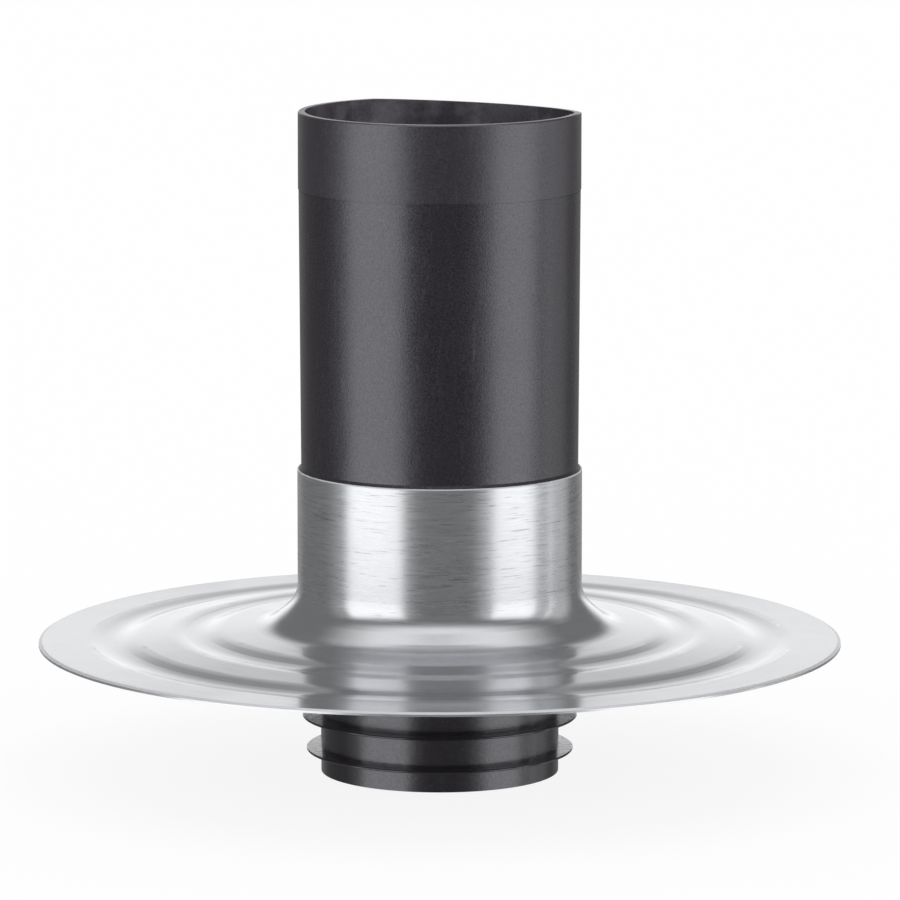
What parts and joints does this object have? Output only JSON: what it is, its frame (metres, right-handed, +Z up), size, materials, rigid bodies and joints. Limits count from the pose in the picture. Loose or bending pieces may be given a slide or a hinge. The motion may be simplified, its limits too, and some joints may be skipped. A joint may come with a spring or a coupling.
{
  "type": "pipe flashing boot",
  "caption": "Roof pipe flashing: a black plastic vent pipe with a lip-sealed spigot below, set in the collar of a round ribbed sheet metal flange.",
  "frame": {"origin": "centre of the spigot's bottom edge, on the pipe's axis", "axes": "+Z up along the pipe's axis, towards its open end; +X to the right and -Y towards the viewer of the front"},
  "size_m": [0.314, 0.314, 0.2597],
  "materials": {
    "pipe_plastic": "black moulded plastic, satin, finely speckled",
    "seal_rubber": "black smooth rubber",
    "flange_metal": "spun stainless steel, fine circumferential brushing, smoother on the flange",
    "seal_bead": "black sealing bead, satin"
  },
  "bodies": {
    "root": {"vent_pipe": "pipe_plastic", "upper_lip_seal": "seal_rubber", "lower_lip_seal": "seal_rubber", "flashing_flange": "flange_metal", "collar_seal": "seal_bead"}
  },
  "joints": []
}
